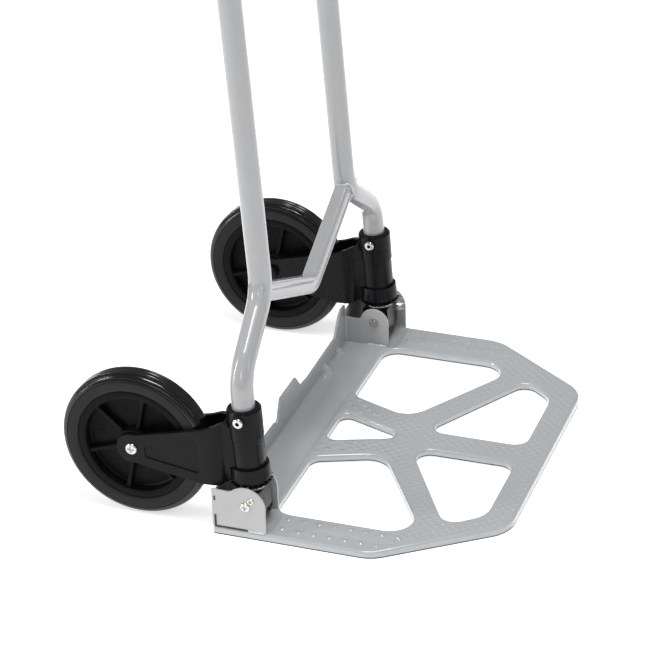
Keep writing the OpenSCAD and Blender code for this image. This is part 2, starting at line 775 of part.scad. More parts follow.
module handle_tube() color(steel_grey) in_frame() {
    for (left = [false, true])
        on_side(left) {
            translate([upper_x, 0, handle_foot])
                linear_extrude(handle_top - handle_bend - handle_foot) handle_leg_section();
            translate([upper_x - handle_bend, 0, handle_top - handle_bend]) rotate([90, 0, 0])
                rotate_extrude(angle = 90) translate([handle_bend, 0]) handle_leg_section();
        }
    translate([handle_bend - upper_x, 0, handle_top]) rotate([0, 90, 0])
        linear_extrude(2 * (upper_x - handle_bend)) handle_leg_section();
}

module handle_grip() color(plastic_black) in_frame() translate([0, 0, handle_top]) difference() {
    union() {
        bar_x(grip_r, -grip_half, grip_half);
        for (side = [-1, 1]) bar_x(grip_ring_r, side * grip_half - 3, side * grip_half + 3);
    }
    bar_x(handle_r, -grip_half - 8, grip_half + 8);
}

// Nylon plug on the lower end of each handle leg; it runs in the side tube
module slide_plug(left) color(nylon) in_frame() on_side(left)
    translate([upper_x, 0, handle_foot - plug_l]) {
        cylinder(r = tube_r - tube_wall - fit, h = plug_l);
        translate([0, 0, plug_l]) cylinder(r = handle_r - handle_wall, h = 15);
    }

module at_lock(left) in_frame() on_side(left) translate([upper_x, 0, lock_z])
    rotate([-90, 0, 0]) children();

module lock_pin(left) color(zinc) at_lock(left) {
    translate([0, 0, lock_tip]) cylinder(r = lock_r, h = plunger_top + 9 - lock_tip);
    translate([0, 0, tube_r + 0.4]) cylinder(r = lock_flange_r, h = 1.6);
}

module lock_knob(left) color(plastic_black) at_lock(left) difference() {
    union() {
        translate([0, 0, plunger_top + 0.4]) cylinder(r = 6.5, h = 3);
        translate([0, 0, plunger_top + 3.4]) cylinder(r1 = knob_r - 3, r2 = knob_r, h = 3);
        translate([0, 0, plunger_top + 6.4]) cylinder(r = knob_r, h = 5);
        translate([0, 0, plunger_top + 11.4]) cylinder(r1 = knob_r, r2 = knob_r - 2, h = 2);
    }
    translate([0, 0, bridge_depth]) cylinder(r = lock_r, h = plunger_top + 9 - bridge_depth);
}

side_tube(true);  // side_tube_left
side_tube(false);  // side_tube_right
crossbar();
frame_welds();
upper_collar(true);  // upper_collar_left
upper_collar(false);  // upper_collar_right
collar_screw(true);  // collar_screw_left
collar_screw(false);  // collar_screw_right
tube_shoe(true);  // tube_shoe_left
tube_shoe(false);  // tube_shoe_right
thrust_washer(true);  // thrust_washer_left
thrust_washer(false);  // thrust_washer_right
tube_bush(true);  // tube_bush_left
tube_bush(false);  // tube_bush_right
bridge_front();
bridge_rear();
bridge_screws();
lock_spring(true);  // lock_spring_left
lock_spring(false);  // lock_spring_right
toe_plate();
bracket(true);  // bracket_left
bracket(false);  // bracket_right
bracket_welds();
sector_gear(true);  // sector_gear_left
sector_gear(false);  // sector_gear_right
gear_rivet(true);  // gear_rivet_left
gear_rivet(false);  // gear_rivet_right
pivot_pin(true);  // pivot_pin_left
pivot_pin(false);  // pivot_pin_right
arm(true);  // arm_left
arm(false);  // arm_right
crown_collar(true);  // crown_collar_left
crown_collar(false);  // crown_collar_right
axle(true);  // axle_left
axle(false);  // axle_right
axle_cap(true);  // axle_cap_left
axle_cap(false);  // axle_cap_right
wheel_hub(true);  // wheel_hub_left
wheel_hub(false);  // wheel_hub_right
tyre(true);  // tyre_left
tyre(false);  // tyre_right
wheel_bush(true);  // wheel_bush_left
wheel_bush(false);  // wheel_bush_right
handle_tube();
handle_grip();
slide_plug(true);  // slide_plug_left
slide_plug(false);  // slide_plug_right
lock_knob(true);  // lock_knob_left
lock_knob(false);  // lock_knob_right
lock_pin(true);  // lock_pin_left
lock_pin(false);  // lock_pin_right
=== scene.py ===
# Folding hand truck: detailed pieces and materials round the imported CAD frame.
# Lengths below are in millimetres, in the CAD frame, and turn into metres in add_piece().
import json
from math import acos, atan2, cos, hypot, pi, radians, sin, sqrt, tan

import bmesh
import bpy
import numpy as np
from mathutils import Matrix, Vector, geometry, noise

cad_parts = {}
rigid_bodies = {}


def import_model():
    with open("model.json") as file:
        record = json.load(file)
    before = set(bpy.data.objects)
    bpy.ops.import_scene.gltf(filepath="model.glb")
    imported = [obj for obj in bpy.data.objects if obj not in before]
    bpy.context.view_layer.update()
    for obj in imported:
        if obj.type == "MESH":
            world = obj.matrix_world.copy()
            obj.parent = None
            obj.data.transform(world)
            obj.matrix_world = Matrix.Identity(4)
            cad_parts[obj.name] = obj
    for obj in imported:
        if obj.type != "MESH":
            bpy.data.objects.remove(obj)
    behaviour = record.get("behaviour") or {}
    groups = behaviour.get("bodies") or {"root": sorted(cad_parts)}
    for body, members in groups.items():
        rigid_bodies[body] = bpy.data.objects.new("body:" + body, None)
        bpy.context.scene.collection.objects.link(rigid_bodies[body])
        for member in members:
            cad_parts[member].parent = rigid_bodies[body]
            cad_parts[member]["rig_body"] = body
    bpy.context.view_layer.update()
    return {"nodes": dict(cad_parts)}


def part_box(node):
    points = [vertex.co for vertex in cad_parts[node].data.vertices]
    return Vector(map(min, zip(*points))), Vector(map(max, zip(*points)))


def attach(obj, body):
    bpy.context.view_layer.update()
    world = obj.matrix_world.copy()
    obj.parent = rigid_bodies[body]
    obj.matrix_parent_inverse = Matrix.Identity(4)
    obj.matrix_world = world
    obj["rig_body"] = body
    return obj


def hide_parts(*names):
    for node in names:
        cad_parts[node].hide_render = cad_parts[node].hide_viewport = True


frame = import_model()

MM = 0.001
SIDES = {"left": -1, "right": 1}


def box_mm(node):
    low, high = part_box(node)
    return low / MM, high / MM


# ---- places read from the frame ----

PLATE_LOW, PLATE_HIGH = box_mm("toe_plate")
HALF_W = PLATE_HIGH.x
REAR_Y = PLATE_HIGH.y
PLATE_L = PLATE_HIGH.y - PLATE_LOW.y
PIVOT_Y = REAR_Y - 38.05
PIVOT_Z = 39
LEAN = radians(3.6)
TUBE_X = 213
UPPER_X = 133
TUBE_R = 12.5
TYRE_LOW, TYRE_HIGH = box_mm("tyre_right")
WHEEL_R = (TYRE_HIGH.z - TYRE_LOW.z) / 2
WHEEL_Y = (TYRE_LOW.y + TYRE_HIGH.y) / 2
WHEEL_Z = (TYRE_LOW.z + TYRE_HIGH.z) / 2

# Leaning frame of the tubes, with its origin on the fold pivot
LEANING = Matrix.Translation((0, PIVOT_Y, PIVOT_Z)) @ Matrix.Rotation(-LEAN, 4, "X")
AT_PLATE = Matrix.Translation((0, REAR_Y, 0))
AT_PIVOT = Matrix.Translation((0, PIVOT_Y, PIVOT_Z))


def x_axis(x, y, z):
    """Turns +Z into +X and moves to a point, for what is turned round an axis along X."""
    return Matrix.Translation((x, y, z)) @ Matrix.Rotation(pi / 2, 4, "Y")


# ---- outlines ----

def unit(x, y):
    length = hypot(x, y)
    return x / length, y / length


def inset(points, distance):
    """An anticlockwise outline moved inward by a distance."""
    moved = []
    for i, (x, y) in enumerate(points):
        ax, ay = unit(x - points[i - 1][0], y - points[i - 1][1])
        after = points[(i + 1) % len(points)]
        bx, by = unit(after[0] - x, after[1] - y)
        nx, ny, mx, my = -ay, ax, -by, bx
        scale = distance / (1 + nx * mx + ny * my)
        moved.append((x + scale * (nx + mx), y + scale * (ny + my)))
    return moved


def rounded(points, radii, steps=8):
    """An outline with its corners turned into arcs; radii is one number or one for each corner."""
    if not isinstance(radii, (list, tuple)):
        radii = [radii] * len(points)
    ring = []
    for i, (x, y) in enumerate(points):
        ax, ay = unit(points[i - 1][0] - x, points[i - 1][1] - y)
        after = points[(i + 1) % len(points)]
        bx, by = unit(after[0] - x, after[1] - y)
        half = acos(max(-1, min(1, ax * bx + ay * by))) / 2
        mx, my = unit(ax + bx, ay + by)
        reach = radii[i] / sin(half)
        cx, cy = x + mx * reach, y + my * reach
        cut = radii[i] / tan(half)
        fx, fy = x + ax * cut - cx, y + ay * cut - cy
        tx, ty = x + bx * cut - cx, y + by * cut - cy
        turn = pi - 2 * half
        for k in range(steps + 1):
            a, b = sin(turn * (1 - k / steps)) / sin(turn), sin(turn * k / steps) / sin(turn)
            ring.append((cx + fx * a + tx * b, cy + fy * a + ty * b))
    return ring


def mirrored(points):
    return [(-x, y) for x, y in reversed(points)]


def smooth_step(value, start, end):
    t = min(1, max(0, (value - start) / (end - start)))
    return t * t * (3 - 2 * t)


# ---- mesh building ----

class Shape:
    """Vertices and faces in millimetres, with a material number for each face."""

    def __init__(self):
        self.points = []
        self.faces = []
        self.kinds = []

    def add(self, points, faces, kind=0, place=None):
        start = len(self.points)
        for p in points:
            self.points.append(place @ Vector(p) if place else Vector(p))
        for face in faces:
            self.faces.append([start + i for i in face])
            self.kinds.append(kind)
        return self

    def rings(self, rings, kind=0, place=None, closed=False, caps=True):
        """Skins a row of rings of equal length; caps fills both ends, closed joins them."""
        n = len(rings[0])
        points = [p for ring in rings for p in ring]
        faces = []
        count = len(rings) if closed else len(rings) - 1
        for i in range(count):
            a, b = i * n, ((i + 1) % len(rings)) * n
            for k in range(n):
                m = (k + 1) % n
                faces.append([a + k, a + m, b + m, b + k])
        if caps and not closed:
            faces.append(list(reversed(range(n))))
            faces.append([(len(rings) - 1) * n + k for k in range(n)])
        return self.add(points, faces, kind, place)

    def lathe(self, profile, steps=96, kind=0, place=None):
        """Turns a closed profile of (radius, height) points round Z."""
        rings = []
        for radius, height in profile:
            rings.append([(radius * cos(2 * pi * k / steps), radius * sin(2 * pi * k / steps), height)
                          for k in range(steps)])
        return self.rings(rings, kind, place, closed=True)

    def merge(self, other, place=None):
        start = len(self.points)
        self.points += [place @ p if place else p.copy() for p in other.points]
        self.faces += [[start + i for i in face] for face in other.faces]
        self.kinds += other.kinds
        return self

    def flipped(self):
        """The mirror image in the plane x = 0."""
        out = Shape()
        out.points = [Vector((-p.x, p.y, p.z)) for p in self.points]
        out.faces = [list(reversed(face)) for face in self.faces]
        out.kinds = list(self.kinds)
        return out


# Metres: points closer than this become one, in built pieces and in copies of CAD nodes
WELD_DISTANCE = 0.00001
CAD_WELD_DISTANCE = 0.000002
# Degrees: faces this close to level are joined, edges above the others are rounded or kept sharp
FLAT_ANGLE = 0.8
BEVEL_ANGLE = 32
SOFT_SHARP_ANGLE = 40


def new_object(name, mesh):
    made = bpy.data.objects.new(name, mesh)
    bpy.context.scene.collection.objects.link(made)
    return made


def finish_piece(made, body, materials, nodes, sharp=35):
    """Gives a new mesh its materials and body, and hides the CAD nodes that it replaces."""
    # The mesh is new, so it holds no materials; clearing it would also reset each face's number.
    for material in materials:
        made.data.materials.append(material)
    made.data.shade_smooth()
    made.data.set_sharp_from_angle(angle=radians(sharp))
    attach(made, body)
    if nodes:
        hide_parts(*nodes)
    return made


def add_piece(name, shape, body, materials, nodes=(), sharp=35):
    mesh = bpy.data.meshes.new(name)
    mesh.from_pydata([p * MM for p in shape.points], [], shape.faces)
    mesh.polygons.foreach_set("material_index", shape.kinds)
    work = bmesh.new()
    work.from_mesh(mesh)
    bmesh.ops.remove_doubles(work, verts=work.verts, dist=WELD_DISTANCE)
    bmesh.ops.recalc_face_normals(work, faces=work.faces)
    work.to_mesh(mesh)
    work.free()
    mesh.update()
    return finish_piece(new_object(name, mesh), body, materials, nodes, sharp)


def soften(node, materials, width, segments=3):
    """A copy of a CAD node with its edges rounded."""
    source = frame["nodes"][node]
    work = bmesh.new()
    work.from_mesh(source.data)
    bmesh.ops.remove_doubles(work, verts=work.verts, dist=CAD_WELD_DISTANCE)
    bmesh.ops.dissolve_limit(
        work, angle_limit=radians(FLAT_ANGLE), verts=work.verts, edges=work.edges,
        use_dissolve_boundaries=False)
    mesh = bpy.data.meshes.new(node + "_soft")
    work.to_mesh(mesh)
    work.free()
    made = new_object(node + "_soft", mesh)
    bevel = made.modifiers.new("round", "BEVEL")
    bevel.width = width * MM
    bevel.segments = segments
    bevel.limit_method = "ANGLE"
    bevel.angle_limit = radians(BEVEL_ANGLE)
    bevel.use_clamp_overlap = True
    bevel.harden_normals = False
    body = source["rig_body"]
    return finish_piece(made, body, materials, [node], SOFT_SHARP_ANGLE)


# ---- materials ----

RAMP_START = 0.35
RAMP_END = 0.65


def new_material(name):
    material = bpy.data.materials.new(name)
    material.use_nodes = True
    return material, material.node_tree.nodes, material.node_tree.links


def add_noise(nodes, links, scale, detail):
    place = nodes.new("ShaderNodeTexCoord")
    texture = nodes.new("ShaderNodeTexNoise")
    texture.inputs["Scale"].default_value = scale
    texture.inputs["Detail"].default_value = detail
    links.new(place.outputs["Object"], texture.inputs["Vector"])
    return texture.outputs["Fac"]


def ramp_between(nodes, links, source, low, high):
    ramp = nodes.new("ShaderNodeValToRGB")
    ramp.color_ramp.elements[0].position = RAMP_START
    ramp.color_ramp.elements[1].position = RAMP_END
    ramp.color_ramp.elements[0].color = low
    ramp.color_ramp.elements[1].color = high
    links.new(source, ramp.inputs["Fac"])
    return ramp.outputs["Color"]


def grey(value):
    return (value, value, value, 1)


def surface(name, light, dark, rough, bumps, metallic=0.0, specular=0.5, coat=0.0,
            coat_rough=0.1, mottle=30):
    """Colour and roughness that vary a little, with fine bumps given as (scale, depth, strength)."""
    material, nodes, links = new_material(name)
    shader = nodes["Principled BSDF"]
    shader.inputs["Metallic"].default_value = metallic
    shader.inputs["Specular IOR Level"].default_value = specular
    shader.inputs["Coat Weight"].default_value = coat
    shader.inputs["Coat Roughness"].default_value = coat_rough
    blotch = add_noise(nodes, links, mottle, 3)
    colour = ramp_between(nodes, links, blotch, dark, light)
    links.new(colour, shader.inputs["Base Color"])
    patch = add_noise(nodes, links, mottle * 4, 4)
    links.new(ramp_between(nodes, links, patch, grey(rough[0]), grey(rough[1])),
              shader.inputs["Roughness"])
    normal = None
    for scale, depth, strength in bumps:
        bump = nodes.new("ShaderNodeBump")
        bump.inputs["Strength"].default_value = strength
        bump.inputs["Distance"].default_value = depth * MM
        links.new(add_noise(nodes, links, scale, 2), bump.inputs["Height"])
        if normal:
            links.new(normal, bump.inputs["Normal"])
        normal = bump.outputs["Normal"]
    links.new(normal, shader.inputs["Normal"])
    return material


FRAME_PAINT = surface(
    "frame_paint", (0.335, 0.34, 0.35, 1), (0.325, 0.33, 0.34, 1), (0.2, 0.24),
    [(900, 0.02, 0.12)], coat=0.7, coat_rough=0.07)
PLATE_PAINT = surface(
    "plate_paint", (0.385, 0.405, 0.42, 1), (0.375, 0.395, 0.41, 1), (0.22, 0.26),
    [(700, 0.02, 0.1)], coat=0.8, coat_rough=0.06, mottle=14)
# Painted shade: a dark band at the foot of the plate's walls for the contact shadow there, and dark
# sheets in the gaps seen at the brackets for the shadow in them
PAINTED_SHADE = surface(
    "painted_shade", (0.05, 0.05, 0.052, 1), (0.035, 0.035, 0.037, 1), (0.5, 0.6),
    [(900, 0.05, 0.3)], specular=0.2)
BRACKET_PAINT = surface(
    "bracket_paint", (0.41, 0.41, 0.41, 1), (0.39, 0.39, 0.39, 1), (0.32, 0.42),
    [(800, 0.03, 0.2)], coat=0.2, coat_rough=0.2)
WELD_PAINT = surface(
    "weld_paint", (0.56, 0.56, 0.56, 1), (0.46, 0.46, 0.46, 1), (0.12, 0.2),
    [(500, 0.12, 0.5)], coat=0.8, coat_rough=0.05)
BLACK_PLASTIC = surface(
    "black_plastic", (0.0052, 0.0052, 0.006, 1), (0.004, 0.004, 0.0047, 1), (0.24, 0.32),
    [(1500, 0.02, 0.2)], specular=0.13)
HUB_PLASTIC = surface(
    "hub_plastic", (0.004, 0.004, 0.0046, 1), (0.0028, 0.0028, 0.0033, 1), (0.42, 0.52),
    [(1200, 0.03, 0.3)], specular=0.08)
SIDEWALL = surface(
    "tyre_sidewall", (0.0115, 0.0115, 0.0128, 1), (0.0092, 0.0092, 0.0103, 1), (0.5, 0.6),
    [(900, 0.05, 0.4)], specular=0.2)
TREAD = surface(
    "tyre_tread", (0.004, 0.004, 0.0045, 1), (0.0025, 0.0025, 0.0028, 1), (0.12, 0.17),
    [(220, 0.03, 0.12)], specular=0.4)
ZINC = surface(
    "zinc", (0.62, 0.62, 0.61, 1), (0.48, 0.48, 0.49, 1), (0.16, 0.28),
    [(1600, 0.03, 0.4), (300, 0.2, 0.5)], metallic=1.0)
GEAR_STEEL = surface(
    "gear_steel", (0.66, 0.66, 0.65, 1), (0.48, 0.48, 0.48, 1), (0.22, 0.36),
    [(900, 0.05, 0.5)], metallic=1.0)
BRASS = surface(
    "brass", (0.42, 0.36, 0.06, 1), (0.26, 0.22, 0.03, 1), (0.3, 0.45),
    [(900, 0.04, 0.4)], metallic=1.0)
NYLON = surface(
    "nylon", (0.74, 0.73, 0.68, 1), (0.68, 0.67, 0.62, 1), (0.4, 0.5),
    [(900, 0.03, 0.3)])
GRIP = surface(
    "grip_rubber", (0.011, 0.011, 0.0115, 1), (0.008, 0.008, 0.0085, 1), (0.6, 0.72),
    [(1800, 0.08, 0.7)], specular=0.2)

# ---- toe plate ----

TOP_Z = 10
STRIP_DROP = 0.8
SHOULDER = 3
SHEET = 2.4
NOSE_HALF = 149
SIDE_L = 178
PLATE_CORNERS = [(-HALF_W, 0), (-HALF_W, -SIDE_L), (-NOSE_HALF, -PLATE_L),
                 (NOSE_HALF, -PLATE_L), (HALF_W, -SIDE_L), (HALF_W, 0)]
PLATE_RADII = [3, 42, 40, 40, 42, 3]
REAR_OPENING = [(71.7, -53.4), (42.7, -129.5), (189.5, -221), (190, -53.4)]
REAR_RADII = [16, 27, 25, 20]
FRONT_OPENING = [(19.5, -152), (19, -272.3), (130.5, -272.3), (160, -235)]
FRONT_RADII = [15.5, 16, 32, 16]
MIDDLE_OPENING = [(-33.3, -53.4), (0, -146), (33.3, -53.4)]
MIDDLE_RADII = [11, 10, 11]
# The openings' common middle line lies a little to the left of the plate's
OPENING_SHIFT = -5
OPENING_DEPTH = 8.5


def shifted(points):
    return [(x + OPENING_SHIFT, y) for x, y in points]


HOLES = [(shifted(MIDDLE_OPENING), MIDDLE_RADII)]
for opening, corner_radii in ((REAR_OPENING, REAR_RADII), (FRONT_OPENING, FRONT_RADII)):
    HOLES.append((shifted(opening), corner_radii))
    HOLES.append((shifted(mirrored(opening)), corner_radii[::-1]))

# Coarse dots near the rear strip, with their height at full size
DOT_PITCH_X = 16
DOT_PITCH_Y = 17
DOT_R = 2.1
DOT_H = 1.1
DOT_START = -56
# Finer dots from here to the front edge
FINE_FROM = -96
FINE_PITCH_X = 11
FINE_PITCH_Y = 11.5
FINE_DOT_R = 1.25
# Two rows of larger dots along each side bar
SIDE_DOT_ROWS = (206, 225)
SIDE_DOT_R = 3
SIDE_DOT_START = -74
SIDE_DOT_PITCH = 17.5
SIDE_DOT_COUNT = 8
SIDE_BAR_X = 180
SIDE_BAR_END = -190
# Reach of a dot's foot as a share of its radius
DOT_FOOT = 1.15
GRID = 5
# The lower rear strip ends further forward beside the brackets
STRIP_END = 48
STRIP_SIDE_END = 64


def plate_loop(distance):
    radii = [max(0.6, r - distance) for r in PLATE_RADII]
    return rounded(inset(PLATE_CORNERS, distance), radii, 10)


def hole_loop(hole, distance):
    points, radii = hole
    return rounded(inset(points, -distance), [r + distance for r in radii], 8)


def plate_height(x, y):
    """Height of the plate's top: a lower smooth strip at the rear and a raised band on each side."""
    strip_end = STRIP_END + (STRIP_SIDE_END - STRIP_END) * smooth_step(abs(x), 182, 186)
    z = TOP_Z - STRIP_DROP * smooth_step(y, -strip_end - 2, -strip_end + 2)
    along = smooth_step(-y, 70, 84) * (1 - smooth_step(-y, 176, 200))
    outside = smooth_step(abs(x), 213, 219)
    return z - 1.6 * outside * along


def inside(points, loop):
    """Which of the points lie inside a loop, by counting crossings."""
    x, y = points[:, 0], points[:, 1]
    result = np.zeros(len(points), bool)
    for (x0, y0), (x1, y1) in zip(loop, loop[1:] + loop[:1]):
        if y0 == y1:
            continue
        crosses = (y0 > y) != (y1 > y)
        result ^= crosses & (x < (x1 - x0) * (y - y0) / (y1 - y0) + x0)
    return result


def clearance(points, loop):
    """Distance from each point to the nearest edge of a loop."""
    ends = np.array(loop, float)
    nearest = np.full(len(points), 1e9)
    for a, b in zip(ends, np.roll(ends, -1, 0)):
        run = b - a
        length = run @ run
        if length < 1e-12:
            continue
        t = np.clip(((points - a) @ run) / length, 0, 1)
        nearest = np.minimum(nearest, np.linalg.norm(points - a - t[:, None] * run, axis=1))
    return nearest


def plate_fill():
    """Triangles of the plate's top with its dots: points as (x, y, bump) and faces."""
    loops = [plate_loop(SHOULDER)] + [hole_loop(h, SHOULDER) for h in HOLES]

    def free(points, margin):
        keep = inside(points, loops[0]) & (clearance(points, loops[0]) > margin)
        for loop in loops[1:]:
            keep &= ~inside(points, loop) & (clearance(points, loop) > margin)
        return points[keep]

    def lattice(pitch_x, pitch_y, radius, first_y, last_y):
        """Staggered dots between two distances from the rear edge, off the side bars' smooth part."""
        rows = range(int((first_y - last_y) / pitch_y * 2) + 1)
        reach = int(HALF_W / pitch_x) + 1
        spots = [((i + 0.5 * (j % 2)) * pitch_x - 1, first_y - j * pitch_y / 2)
                 for j in rows for i in range(-reach, reach + 1)]
        spots = free(np.array(spots), radius + 0.9)
        return spots[(abs(spots[:, 0]) < SIDE_BAR_X) | (spots[:, 1] < SIDE_BAR_END)]

    coarse = lattice(DOT_PITCH_X, DOT_PITCH_Y, DOT_R, DOT_START, FINE_FROM + 5)
    fine = lattice(FINE_PITCH_X, FINE_PITCH_Y, FINE_DOT_R, FINE_FROM, -PLATE_L)
    rows = [(side * x, SIDE_DOT_START - SIDE_DOT_PITCH * i)
            for side in (-1, 1) for x in SIDE_DOT_ROWS for i in range(SIDE_DOT_COUNT)]
    rows = free(np.array(rows), SIDE_DOT_R + 0.3)
    sizes = [DOT_R] * len(coarse) + [FINE_DOT_R] * len(fine) + [SIDE_DOT_R] * len(rows)
    dots = np.concatenate([coarse, fine, rows])
    coords = [Vector(p) for loop in loops for p in loop]
    edges = []
    start = 0
    for loop in loops:
        edges += [(start + k, start + (k + 1) % len(loop)) for k in range(len(loop))]
        start += len(loop)
    bumps = [0.0] * len(coords)
    for (x, y), size in zip(dots, sizes):
        coords.append(Vector((x, y)))
        bumps.append(DOT_H * size / DOT_R)
        for share, height, count in ((0.5, 0.8, 6), (0.85, 0.3, 8), (DOT_FOOT, 0, 8)):
            for k in range(count):
                a = 2 * pi * k / count
                coords.append(Vector((x + share * size * cos(a), y + share * size * sin(a))))
                bumps.append(height * DOT_H * size / DOT_R)
    xs = np.arange(-HALF_W, HALF_W, GRID)
    ys = np.arange(-PLATE_L, 0, GRID)
    grid = [(x, y) for x in xs for y in ys]
    for offset in (-2, -0.7, 0.7, 2):
        grid += [(x, offset - STRIP_END) for x in np.arange(-184, 184, 4)]
        grid += [(side * x, offset - STRIP_SIDE_END) for side in (-1, 1) for x in np.arange(186, 238, 4)]
    for x in (212, 214, 216, 218, 220):
        grid += [(side * x, y) for side in (-1, 1) for y in np.arange(-204, -66, 4)]
    grid = free(np.array(grid, float), 1.0)
    away = np.linalg.norm(grid[:, None, :] - dots[None, :, :], axis=2)
    grid = grid[np.min(away - np.array(sizes) * DOT_FOOT, axis=1) > 0.3]
    coords += [Vector(p) for p in grid]
    bumps += [0.0] * len(grid)
    points, _, faces, sources, _, _ = geometry.delaunay_2d_cdt(coords, edges, [], 0, 1e-6)
    flat = np.array([[p.x, p.y] for p in points])
    centres = np.array([flat[list(f)].mean(0) for f in faces])
    keep = inside(centres, loops[0])
    for loop in loops[1:]:
        keep &= ~inside(centres, loop)
    height = [bumps[s[0]] if s else 0.0 for s in sources]
    return [(x, y, h) for (x, y), h in zip(flat, height)], [list(f) for f, k in zip(faces, keep) if k]


def plate_sheet():
    """Pressed sheet: domed shoulders, walls down at the rim and round each opening, hollow below."""
    shape = Shape()
    points, faces = plate_fill()
    shape.add([(x, y, plate_height(x, y) + bump) for x, y, bump in points], faces)
    shape.add([(x, y, plate_height(x, y) - SHEET) for x, y, _ in points],
              [list(reversed(f)) for f in faces])

    def wall(loop_at, foot):
        """Shoulder, outer wall, foot and inner wall; loop_at gives the loop at a distance."""
        rings = []
        for k in range(7):
            a = pi / 2 * k / 6
            loop = loop_at(SHOULDER * (1 - sin(a)))
            drop = SHOULDER * (1 - cos(a))
            rings.append([(x, y, plate_height(x, y) - drop) for x, y in loop])
        for inward, z in ((0, foot + 1.6), (0.2, foot + 0.15), (0.6, foot), (SHOULDER - 0.6, foot),
                          (SHOULDER - 0.1, foot + 0.3), (SHOULDER, foot + 0.8)):
            rings.append([(x, y, z) for x, y in loop_at(inward)])
        rings.append([(x, y, plate_height(x, y) - SHEET) for x, y in loop_at(SHOULDER)])
        shape.rings(rings[:8], caps=False)
        # The foot band of each wall takes the second material: painted shade for the contact shadow
        # along its foot.
        shape.rings(rings[7:10], 1, caps=False)
        shape.rings(rings[9:], caps=False)

    wall(plate_loop, 0)
    for hole in HOLES:
        wall(lambda d, h=hole: hole_loop(h, d), TOP_Z - OPENING_DEPTH)
    return shape


FLANGE_END = [(184, 0), (184, 59), (172, 59), (164, 55), (147, 33), (53, 31)]
FLANGE_RIGHT = FLANGE_END + [(36, 33), (29, 35), (14, 52.5)]
FLANGE_LEFT = FLANGE_END + [(49, 28.5), (45, 30.5), (35, 52.5)]
FLANGE_T = 3
BEND_R = 4
GUSSETS = [(108, 9, 13), (155, 7, 10)]


def slab(outline, thickness, edge, place):
    """A flat outline (u, v) with rounded edges, drawn from w = 0 to thickness."""
    shape = Shape()
    bottom = [[(u, v, edge - edge * sin(pi / 2 * k / 3)) for u, v in
               inset(outline, edge * (1 - cos(pi / 2 * k / 3)))] for k in (3, 2, 1, 0)]
    top = [[(u, v, thickness - w) for u, v, w in ring] for ring in reversed(bottom)]
    shape.rings(bottom + top, place=place, caps=False)
    for ring, flip in ((bottom[0], True), (top[-1], False)):
        triangles = geometry.tessellate_polygon([[Vector((u, v, 0)) for u, v, _ in ring]])
        shape.add(ring, [list(reversed(t)) if flip else list(t) for t in triangles], place=place)
    return shape


def flange():
    """Upright sheet at the rear edge, with its bend to the plate and the pressed gussets."""
    outline = FLANGE_RIGHT + mirrored(FLANGE_LEFT)
    upright = Matrix.Rotation(pi / 2, 4, "X")
    shape = slab(outline, FLANGE_T, 0.7, upright)
    strip = TOP_Z - STRIP_DROP
    bend = [(-FLANGE_T - BEND_R + BEND_R * cos(a), strip + BEND_R - BEND_R * sin(a))
            for a in [pi / 2 * (1 - k / 8) for k in range(9)]]
    bend = [(-FLANGE_T - BEND_R, strip - 0.6)] + bend + [(-FLANGE_T + 0.6, strip + BEND_R),
                                                       (-FLANGE_T + 0.6, strip - 0.6)]
    shape.rings([[(x, y, z) for y, z in bend] for x in (-184, 184)])
    for centre, half, reach in GUSSETS:
        for side in (-1, 1):
            rings = []
            for i in range(13):
                t = i / 12
                foot_y, foot_z = -FLANGE_T - reach * max(0, 1 - 2 * t), reach * max(0, 2 * t - 1)
                ring = []
                for k in range(13):
                    s = k / 6 - 1
                    lift = (1 - abs(s) ** 1.6) * sin(pi * t) ** 0.5
                    y = foot_y + (-FLANGE_T - reach * (1 - t) - foot_y) * lift
                    z = foot_z + (reach * t - foot_z) * lift
                    ring.append((side * centre + half * s * sin(pi * t) ** 0.6, y, strip - 0.05 + z))
                rings.append(ring)
            count = len(rings[0])
            faces = [[i * count + k, i * count + k + 1, (i + 1) * count + k + 1, (i + 1) * count + k]
                     for i in range(12) for k in range(count - 1)]
            shape.add([p for ring in rings for p in ring], faces)
    return shape


def toe_plate():
    shape = Shape().merge(plate_sheet(), AT_PLATE).merge(flange(), AT_PLATE)
    add_piece("toe_plate_sheet", shape, "toe_plate", [PLATE_PAINT, PAINTED_SHADE],
              ["toe_plate"], sharp=40)


# ---- welds ----

BEAD_SIDES = 10
BEAD_STEPS = 18
# Dark sheets in the gap along the foot and rear of each outer cheek, painted shade for the shadow in
# that gap: how far it stands in and out, and its width
GAP_IN = 0.6
GAP_OUT = 0.4
GAP_FOOT = 1.7
CHEEK_REAR = 35.6

def bead(path, radius, seed, squash=0.75):
    """A rippled weld bead along a list of points."""
    points = [Vector(p) for p in path]
    rings = []
    for i, p in enumerate(points):
        ahead = points[min(i + 1, len(points) - 1)] - points[max(i - 1, 0)]
        along = ahead.normalized()
        out = along.cross(Vector((0, 0, 1)))
        if out.length < 0.1:
            out = along.cross(Vector((0, 1, 0)))
        out.normalize()
        up = out.cross(along)
        end = min(1, 0.35 + 1.3 * min(i, len(points) - 1 - i) / 3)
        swell = 1 + 0.22 * sin(i * 1.9 + seed) + 0.25 * noise.noise(p * 0.4 + Vector((seed, 0, 0)))
        r = radius * end * swell
        turns = [2 * pi * k / BEAD_SIDES for k in range(BEAD_SIDES)]
        rings.append([p + out * (r * cos(a)) + up * (r * squash * sin(a)) for a in turns])
    return Shape().rings(rings)


def straight(start, end, count):
    a, b = Vector(start), Vector(end)
    return [a.lerp(b, i / (count - 1)) for i in range(count)]


def cuboid(low, high, kind=0):
    """A box between its low and high corners."""
    corners = [[(x, y, z) for x, y in ((low[0], low[1]), (high[0], low[1]), (high[0], high[1]),
                                       (low[0], high[1]))] for z in (low[2], high[2])]
    return Shape().rings(corners, kind)


